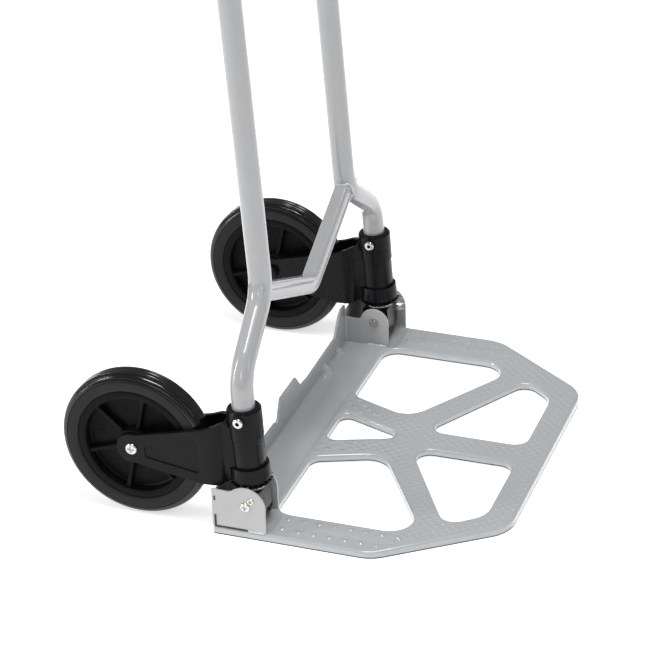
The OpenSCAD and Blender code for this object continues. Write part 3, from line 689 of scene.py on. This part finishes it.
def bracket_welds():
    shape = Shape()
    foot = TOP_Z - STRIP_DROP - PIVOT_Z
    for number, side in enumerate((-1, 1)):
        seed = 3.1 * number
        outer, inner = TUBE_X + 26.3, TUBE_X - 27
        bead_x = outer - 1.4
        gap_in, gap_out = outer - GAP_IN, outer + GAP_OUT
        parts = [
            bead(straight((bead_x, -2, foot), (bead_x, -21.5, foot), BEAD_STEPS), 2.3, seed),
            bead(straight((inner, 10, foot), (inner, -15, foot), BEAD_STEPS), 2.0, seed + 1),
            bead(straight((TUBE_X - 12, 35, foot), (TUBE_X + 12, 35, foot), BEAD_STEPS), 2.0, seed + 2),
            # Painted shade: dark sheets in the gaps at the outer cheek, where the shadow falls.
            cuboid((gap_in, -2, foot), (gap_out, CHEEK_REAR, foot + GAP_FOOT), 1),
            cuboid((gap_in, 33.4, foot + GAP_FOOT), (gap_out, CHEEK_REAR, foot + 15), 1),
            cuboid((gap_in, 33.8, 3), (gap_out, CHEEK_REAR, 8), 1),
        ]
        for part in parts:
            shape.merge(part if side > 0 else part.flipped(), AT_PIVOT)
    add_piece("bracket_weld_beads", shape, "toe_plate", [WELD_PAINT, PAINTED_SHADE],
              ["bracket_welds"], sharp=60)


# ---- crossbar ----

APEX_Z = 145
CROSSBAR_END = (149, 209)
BEND_TUBE_R = 45
JOG_Z = 120
JOG_ANGLE = atan2(4, 3)


def tube_path():
    """Centre line of the right side tube as (x, z) points, up to well above the crossbar."""
    first = [(TUBE_X - BEND_TUBE_R + BEND_TUBE_R * cos(a), JOG_Z + BEND_TUBE_R * sin(a))
             for a in [JOG_ANGLE * k / 12 for k in range(13)]]
    jog_l = (TUBE_X - UPPER_X - 2 * BEND_TUBE_R * (1 - cos(JOG_ANGLE))) / sin(JOG_ANGLE)
    x, z = first[-1]
    x, z = x - jog_l * sin(JOG_ANGLE), z + jog_l * cos(JOG_ANGLE)
    second = [(UPPER_X + BEND_TUBE_R - BEND_TUBE_R * cos(a), z + BEND_TUBE_R * (sin(JOG_ANGLE) - sin(a)))
              for a in [JOG_ANGLE * (1 - k / 12) for k in range(13)]]
    return [(TUBE_X, -14)] + first + second + [(UPPER_X, 420)]


def crossbar_section():
    """Rolled section with a shallow channel along its front and back faces."""
    half_h, half_d, channel, depth = 10, 9, 4.2, 0.9
    box = [(-half_h, -half_d), (half_h, -half_d), (half_h, half_d), (-half_h, half_d)]
    corners = rounded(box, 4.2, 6)

    def face(v_sign):
        lip = [(-channel - 0.9, 0), (-channel, depth), (channel, depth), (channel + 0.9, 0)]
        row = [(u, v_sign * (half_d - d)) for u, d in lip]
        return row if v_sign < 0 else list(reversed(row))
    result = []
    for i, point in enumerate(corners):
        result.append(point)
        if i == 6:
            result += face(-1)
        if i == 20:
            result += face(1)
    return result


def crossbar():
    end_x, end_z = CROSSBAR_END
    rise = atan2(end_z - APEX_Z, end_x)
    reach = hypot(end_x, end_z - APEX_Z)
    bend = 24
    cut = bend * tan(rise)
    path = []
    right = [(cos(rise) * (cut + (reach - cut) * k), APEX_Z + sin(rise) * (cut + (reach - cut) * k))
             for k in (0.12, 0.5, 1)]
    centre_z = APEX_Z + bend / cos(rise)
    for k in range(9):
        a = rise * (k / 4 - 1)
        path.append((bend * sin(a), centre_z - bend * cos(a), a))
    path = ([(-x, z, -rise) for x, z in reversed(right)] + path
            + [(x, z, rise) for x, z in right])
    section = crossbar_section()
    rings = []
    for x, z, a in path:
        rings.append([(x - u * sin(a), v, z + u * cos(a)) for u, v in section])
    add_piece("crossbar_bar", Shape().rings(rings, place=LEANING), "frame",
              [FRAME_PAINT], ["crossbar"], sharp=50)

    path_x = tube_path()

    def gap(x, z, y):
        best = 1e9
        for (x0, z0), (x1, z1) in zip(path_x, path_x[1:]):
            rx, rz = x1 - x0, z1 - z0
            t = max(0, min(1, ((x - x0) * rx + (z - z0) * rz) / (rx * rx + rz * rz)))
            best = min(best, hypot(x - x0 - t * rx, z - z0 - t * rz))
        return hypot(best, y) - TUBE_R

    welds = Shape()
    for side in (-1, 1):
        ring = []
        around = rounded([(-10.3, -9.3), (10.3, -9.3), (10.3, 9.3), (-10.3, 9.3)], 4.5, 6)
        for u, v in around:
            s = reach - 45
            while s < reach + 5:
                x, z = s * cos(rise) - u * sin(rise), APEX_Z + s * sin(rise) + u * cos(rise)
                if gap(x, z, v) < 0:
                    break
                s += 0.5
            ring.append((x, v, z))
        ring.append(ring[0])
        part = bead(ring, 1.9, 5 + side, squash=0.9)
        welds.merge(part if side > 0 else part.flipped(), LEANING)
    add_piece("frame_weld_beads", welds, "frame", [WELD_PAINT], ["frame_welds"], sharp=60)


# ---- wheels ----

RIM_R = 65
RIM_INNER = 56.5
HUB_R = 19
HUB_HALF = 14.9
TYRE_HALF = 14
TREAD_R = 9
TYRE_STEPS = 128
RIB_PHASE = 42
RIBS = 6


def tyre_profile():
    """Half of the section from the rim outward as (radius, x) points, in two lists: sidewall and tread.
    """
    side = [(RIM_R - 1, 11.2), (RIM_R + 0.2, 11.6), (RIM_R + 0.7, 12.9), (RIM_R + 1.6, 13.5),
            (RIM_R + 3.5, 13.85), (WHEEL_R - 10, 14), (WHEEL_R - 8.4, 13.95), (WHEEL_R - 7.9, 13.7),
            (WHEEL_R - 7.7, 13.1), (WHEEL_R - 7.3, 12.95), (WHEEL_R - 6.9, 13.05)]
    tread = []
    grooves = (34, 52, 68, 83)
    for k in range(61):
        a = 13 + 77 * k / 60
        depth = sum(0.4 * max(0, 1 - abs(a - g) / 2.6) for g in grooves)
        r = TREAD_R - depth
        tread.append((WHEEL_R - TREAD_R + r * sin(radians(a)),
                      TYRE_HALF - TREAD_R + r * cos(radians(a))))
    tread += [(WHEEL_R, 3.2), (WHEEL_R - 0.4, 2.6), (WHEEL_R, 2.0), (WHEEL_R, 0)]
    return side, tread


def wheel(name, sign):
    centre = x_axis(sign * TUBE_X, WHEEL_Y, WHEEL_Z)
    side, tread = tyre_profile()
    half = side + tread
    profile = [(r, -x) for r, x in half] + [(r, x) for r, x in reversed(half[:-1])]
    shape = Shape().lathe(profile, TYRE_STEPS, place=centre)
    rings = len(profile)
    limit = len(side)
    for i in range(len(shape.faces)):
        ring = i // TYRE_STEPS
        if limit <= ring < rings - limit - 1:
            shape.kinds[i] = 1
    add_piece("tyre_tread_" + name, shape, "wheel_" + name, [SIDEWALL, TREAD],
              ["tyre_" + name], sharp=30)

    hub = Shape()
    rim = [(RIM_R, -12.2), (RIM_R - 0.5, -12.5), (RIM_INNER + 1.2, -12.5), (RIM_INNER + 0.3, -12.1),
           (RIM_INNER, -11.4), (RIM_INNER - 1.2, -3.6), (RIM_INNER - 3, -2.2),
           (HUB_R + 3, -1.9), (HUB_R + 1, -2.6), (HUB_R + 0.4, -4.5), (HUB_R, -14.2),
           (HUB_R - 0.7, -HUB_HALF), (8, -HUB_HALF), (7.1, -HUB_HALF + 0.6)]
    profile = rim + [(r, -x) for r, x in reversed(rim)]
    hub.lathe(profile, 96, 0, centre)
    for i in range(RIBS):
        turn = radians(RIB_PHASE + i * 360 / RIBS)
        spin = Matrix.Translation((sign * TUBE_X, WHEEL_Y, WHEEL_Z)) @ Matrix.Rotation(turn, 4, "X")
        rings = []
        for radius, thick, high in ((HUB_R - 2, 2.9, 10.6), (HUB_R + 4, 2.2, 9.6), (40, 1.9, 9.2),
                                    (RIM_INNER - 4, 2.2, 9.6), (RIM_INNER + 1, 2.9, 10.4)):
            outline = rounded([(-high, -thick), (high, -thick), (high, thick), (-high, thick)], 0.8, 4)
            rings.append([(x, radius, z) for x, z in outline])
        hub.rings(rings, 0, spin)
        for face_side in (-1, 1):
            mark = Shape()
            mark.lathe([(3.2, 0), (3.4, 0.35), (4.0, 0.35), (4.2, 0)], 24)
            angle = radians(RIB_PHASE + (i + 0.5) * 360 / RIBS)
            at = (sign * TUBE_X + face_side * 2.05, WHEEL_Y + 43 * cos(angle), WHEEL_Z + 43 * sin(angle))
            hub.merge(mark, Matrix.Translation(at) @ Matrix.Rotation(face_side * pi / 2, 4, "Y"))
    add_piece("wheel_rim_" + name, hub, "wheel_" + name, [HUB_PLASTIC],
              ["wheel_hub_" + name], sharp=35)


# ---- screws ----

# Outer faces that the heads sit on, measured from the side tube's axis
ARM_CHEEK_OUT = 20
CHEEK_OUT = 26.2
COLLAR_OUT = 19.6
COLLAR_SCREW_Z = 98

def pan_head(radius, height, recess, recess_depth, dark=0.0):
    """Domed head on the plane z = 0 that bulges towards +Z; dark is the share of the middle that takes
    the second material, as painted shade in its recess.
    """
    shape = Shape()
    rings = []
    steps = 48
    count = 18
    for i in range(count + 1):
        r = radius * i / count
        ring = []
        for k in range(steps):
            a = 2 * pi * k / steps
            x, y = r * cos(a), r * sin(a)
            edge = min(1, max(0, (radius - r) / (0.3 * radius)))
            z = height * (0.35 + 0.65 * sqrt(1 - (1 - edge) ** 2)) * (1 - 0.1 * (r / radius) ** 2)
            if recess == "cross":
                arm = min(abs(x), abs(y))
                reach = max(abs(x), abs(y))
                depth = smooth_step(-arm, -0.16 * radius, -0.09 * radius)
                depth *= smooth_step(-reach, -0.58 * radius, -0.45 * radius)
            elif recess == "slot":
                depth = smooth_step(-abs(y), -0.16 * radius, -0.1 * radius)
            else:
                depth = smooth_step(-r, -0.36 * radius, -0.28 * radius)
            ring.append((x, y, z - recess_depth * depth))
        rings.append(ring)
    rings.append([(x, y, 0) for x, y, z in rings[-1]])
    shape.rings(rings, caps=False)
    for i in range(int(dark * count) * steps):
        shape.kinds[i] = 1
    return shape


def shaft(radius, start, end):
    return Shape().lathe([(radius, start), (radius, end), (0.05, end), (0.05, start)], 32)


def headed(name, body, materials, node, place, head, shank, extra=None):
    """A screw or pin: a head towards +Z of its place and a shank behind it."""
    shape = Shape().merge(head, place).merge(shank, place)
    if extra:
        shape.merge(extra, place)
    add_piece(name, shape, body, materials, [node], sharp=40)


def fasteners():
    for name, sign in SIDES.items():
        turn = Matrix.Rotation(pi / 2 * sign, 4, "Y")
        cheek_x = sign * (TUBE_X + CHEEK_OUT)
        at = Matrix.Translation((sign * (TUBE_X + ARM_CHEEK_OUT), WHEEL_Y, WHEEL_Z)) @ turn
        headed("axle_pin_" + name, "arm_" + name, [ZINC], "axle_" + name, at,
               pan_head(6.6, 2.5, "cross", 1.9), shaft(5, -45, 0.4))
        pin = Shape()
        for way in (-1, 1):
            at = LEANING @ Matrix.Translation((sign * TUBE_X + way * COLLAR_OUT, 0, COLLAR_SCREW_Z))
            at = at @ Matrix.Rotation(pi / 2 * way, 4, "Y")
            # The middle of each head takes the black plastic: painted shade in the recess.
            pin.merge(pan_head(5.7, 2.2, "round", 1.8, 0.42), at)
        pin.merge(shaft(2.5, -2 * COLLAR_OUT, 0.4), at)
        add_piece("collar_pin_" + name, pin, "frame", [ZINC, BLACK_PLASTIC],
                  ["collar_screw_" + name], sharp=40)
        at = AT_PIVOT @ Matrix.Translation((cheek_x, 0, 0)) @ turn
        headed("fold_pin_" + name, "toe_plate", [ZINC], "pivot_pin_" + name, at,
               pan_head(5.4, 2.0, "cross", 1.6), shaft(4, -55.7, 0.4),
               Shape().lathe([(5.4, -55.2), (5.4, -53.2), (0.05, -53.2), (0.05, -55.2)], 32))
        at = AT_PIVOT @ Matrix.Translation((cheek_x, -6.5, 8)) @ turn
        lip = [(1.9, -1), (1.9, 1.0), (2.2, 1.3), (3.2, 1.1), (3.6, 0.6), (3.6, -0.1)]
        ring = Shape().lathe(lip, 32)
        core = pan_head(2.0, 0.9, "slot", 0.3)
        core.kinds = [1] * len(core.kinds)
        headed("gear_pin_" + name, "toe_plate", [ZINC, BRASS], "gear_rivet_" + name, at,
               ring, shaft(2.5, -10, 0.2), core)


# ---- softened CAD pieces ----

for side in SIDES:
    soften("arm_" + side, [BLACK_PLASTIC], 1.1)
    soften("crown_collar_" + side, [BLACK_PLASTIC], 0.5)
    soften("upper_collar_" + side, [BLACK_PLASTIC], 0.8)
    soften("tube_shoe_" + side, [BLACK_PLASTIC], 0.8)
    soften("bracket_" + side, [BRACKET_PAINT], 0.5)
    soften("sector_gear_" + side, [GEAR_STEEL], 0.25, 2)
    soften("axle_cap_" + side, [BLACK_PLASTIC], 0.5)
    soften("lock_knob_" + side, [BLACK_PLASTIC], 0.6)
soften("bridge_front", [BLACK_PLASTIC], 1.0)
soften("bridge_rear", [BLACK_PLASTIC], 1.0)
soften("handle_grip", [GRIP], 0.8)

NODE_MATERIALS = {
    "side_tube": FRAME_PAINT, "handle_tube": FRAME_PAINT, "thrust_washer": NYLON,
    "tube_bush": BLACK_PLASTIC, "bridge_screws": ZINC, "lock_spring": ZINC, "wheel_bush": NYLON,
    "slide_plug": NYLON, "lock_pin": ZINC,
}
for node, thing in frame["nodes"].items():
    for start, material in NODE_MATERIALS.items():
        if node.startswith(start):
            thing.data.materials.clear()
            thing.data.materials.append(material)

toe_plate()
bracket_welds()
crossbar()
for side, side_sign in SIDES.items():
    wheel(side, side_sign)
fasteners()

# ---- floor, light and camera ----

WORLD_STRENGTH = 0.34
FLOOR_GLOW = 0.57
FLOOR_HALF = 30000
FLOOR_Z = -0.0002
# Area lights as name, place, target, size (all in metres) and power in watts
LIGHTS = [
    ("top", (-0.4, -0.2, 3.2), (0, 0, 0), (1.3, 0.9), 76),
    ("key", (-3.4, -0.6, 2.0), (0, 0, 0.1), (0.35, 1.2), 13),
    ("right", (-0.6, -3.0, 1.4), (0, 0, 0.2), (0.15, 2.0), 4),
    ("left", (-1.6, 2.8, 1.2), (0, 0, 0.3), (0.2, 2.2), 40),
]


def floor_material():
    """Pale and even, lit a little from within so that the shadows on it stay faint."""
    material, nodes, _ = new_material("floor")
    shader = nodes["Principled BSDF"]
    shader.inputs["Base Color"].default_value = (0.9, 0.9, 0.9, 1)
    shader.inputs["Roughness"].default_value = 0.9
    shader.inputs["Specular IOR Level"].default_value = 0.1
    shader.inputs["Emission Color"].default_value = (1, 1, 1, 1)
    shader.inputs["Emission Strength"].default_value = FLOOR_GLOW
    return material


def floor():
    corners = ((-1, -1), (1, -1), (1, 1), (-1, 1))
    points = [(x * FLOOR_HALF * MM, y * FLOOR_HALF * MM, FLOOR_Z) for x, y in corners]
    mesh = bpy.data.meshes.new("floor")
    mesh.from_pydata(points, [], [(0, 1, 2, 3)])
    made = new_object("floor", mesh)
    made.data.materials.append(floor_material())


def area_light(name, place, target, size, power):
    data = bpy.data.lights.new(name, "AREA")
    data.shape = "RECTANGLE"
    data.size, data.size_y = size
    data.energy = power
    made = bpy.data.objects.new(name, data)
    bpy.context.scene.collection.objects.link(made)
    made.location = place
    made.rotation_mode = "QUATERNION"
    made.rotation_quaternion = (Vector(target) - Vector(place)).to_track_quat("-Z", "Y")


def light():
    world = bpy.data.worlds.new("studio")
    bpy.context.scene.world = world
    world.use_nodes = True
    background = world.node_tree.nodes["Background"]
    background.inputs["Color"].default_value = (1, 1, 1, 1)
    background.inputs["Strength"].default_value = WORLD_STRENGTH
    for row in LIGHTS:
        area_light(*row)


# Metres, radians and the lens in millimetres
CAMERA_PLACE = (-2.4468, -0.8981, 1.5557)
CAMERA_YAW = 0.35804
CAMERA_DOWN = 0.49822
CAMERA_ROLL = -0.03324
CAMERA_LENS = 148.1


def camera():
    ahead = Vector((cos(CAMERA_DOWN) * cos(CAMERA_YAW), cos(CAMERA_DOWN) * sin(CAMERA_YAW),
                    -sin(CAMERA_DOWN)))
    right = ahead.cross(Vector((0, 0, 1))).normalized()
    up = right.cross(ahead)
    tilted_right = cos(CAMERA_ROLL) * right + sin(CAMERA_ROLL) * up
    tilted_up = cos(CAMERA_ROLL) * up - sin(CAMERA_ROLL) * right
    data = bpy.data.cameras.new("camera")
    data.lens = CAMERA_LENS
    data.sensor_width = 36
    made = bpy.data.objects.new("camera", data)
    bpy.context.scene.collection.objects.link(made)
    turn = Matrix((tilted_right, tilted_up, -ahead)).transposed().to_4x4()
    made.matrix_world = Matrix.Translation(CAMERA_PLACE) @ turn
    bpy.context.scene.camera = made


floor()
light()
camera()
bpy.context.scene.view_settings.view_transform = "Standard"
